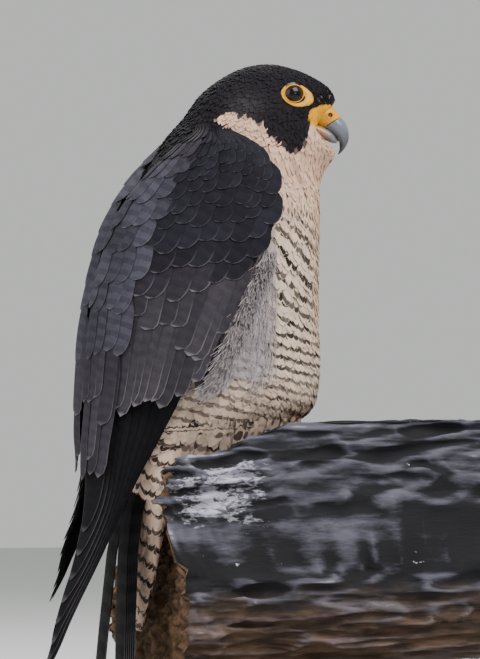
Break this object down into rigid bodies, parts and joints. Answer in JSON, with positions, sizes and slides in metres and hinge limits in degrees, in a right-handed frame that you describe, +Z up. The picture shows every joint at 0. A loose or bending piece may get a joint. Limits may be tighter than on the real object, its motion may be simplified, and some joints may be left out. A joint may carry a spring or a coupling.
{
  "type": "peregrine falcon",
  "caption": "Perched falcon with long folded wings, hooked bill and hanging tail, head turned to its right, on a short length of weathered log held by a plain display stand.",
  "frame": {"origin": "centre of the stand base's underside, on the floor", "axes": "+Z up; the body and the log point along +X and the bird's left side is at +Y"},
  "size_m": [0.2853, 0.176, 0.4255],
  "materials": {
    "slate_plumage": "dark slate feathers with paler edges and bars",
    "hood_plumage": "blackish feathers on the head and neck, with a pale cheek and throat",
    "breast_plumage": "cream feathers with dark bars and spots",
    "yellow_skin": "bare yellow skin, scaled on the toes",
    "bill_horn": "blue-grey horn, black at the tip",
    "claw_horn": "black horn",
    "eye": "dark brown eye with a wet shine",
    "weathered_wood": "dark, ridged weathered wood with pale patches, brown where it is broken",
    "base_wood": "dark satin wood",
    "rod_steel": "brushed"
  },
  "bodies": {
    "root": {"stand_base": "base_wood", "stand_rod_front": "rod_steel", "stand_rod_rear": "rod_steel", "perch_log": "weathered_wood", "torso": "breast_plumage", "neck": "hood_plumage", "head": "hood_plumage", "eye_left": "eye", "eye_right": "eye", "cere": "yellow_skin", "bill_upper": "bill_horn", "bill_lower": "bill_horn", "wing_left": "slate_plumage", "wing_right": "slate_plumage", "tail": "slate_plumage", "thigh_left": "breast_plumage", "thigh_right": "breast_plumage", "tarsus_left": "yellow_skin", "tarsus_right": "yellow_skin", "foot_left": "yellow_skin", "foot_right": "yellow_skin", "claw_left_middle": "claw_horn", "claw_left_inner": "claw_horn", "claw_left_outer": "claw_horn", "claw_left_hind": "claw_horn", "claw_right_middle": "claw_horn", "claw_right_inner": "claw_horn", "claw_right_outer": "claw_horn", "claw_right_hind": "claw_horn"}
  },
  "joints": []
}
